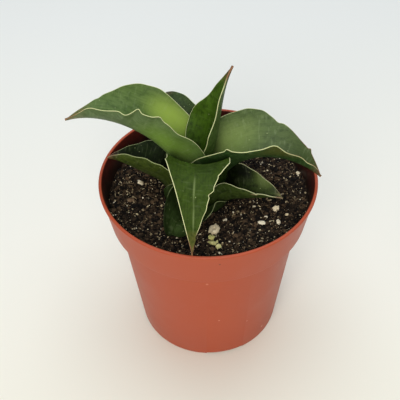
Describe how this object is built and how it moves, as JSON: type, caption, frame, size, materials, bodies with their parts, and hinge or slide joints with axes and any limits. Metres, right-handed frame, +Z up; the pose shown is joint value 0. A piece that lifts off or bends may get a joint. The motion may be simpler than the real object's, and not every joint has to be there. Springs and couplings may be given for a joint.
{
  "type": "potted succulent",
  "caption": "Small potted succulent: a loose rosette of channelled, pointed leaves in a thin round plastic nursery pot filled with dark soil.",
  "frame": {"origin": "middle of the flat disc under the pot, where the pot stands on a table", "axes": "+Z up along the pot's axis; the front leaf points towards -Y, +X is to the right seen from the front"},
  "size_m": [0.1137, 0.1036, 0.1425],
  "materials": {
    "pot": "moulded terracotta-coloured polypropylene, satin",
    "soil": "dark peat and bark crumbs with perlite grains",
    "crown": "buried fibrous stem",
    "leaf_upright": "waxy mid-green blade, brown towards the tip",
    "leaf_left": "waxy yellow-green blade with grey bloom",
    "leaf_right": "waxy grey-green blade with paler cross marks",
    "leaf_front": "waxy dark green blade with pale margins",
    "leaf_lower": "waxy very dark green blade"
  },
  "bodies": {
    "root": {"pot": "pot", "soil": "soil", "crown": "crown", "leaf_upright": "leaf_upright", "leaf_left": "leaf_left", "leaf_right": "leaf_right", "leaf_front": "leaf_front", "leaf_back": "leaf_lower", "leaf_lower_left": "leaf_lower", "leaf_lower_right": "leaf_lower", "leaf_lowest": "leaf_lower"}
  },
  "joints": []
}
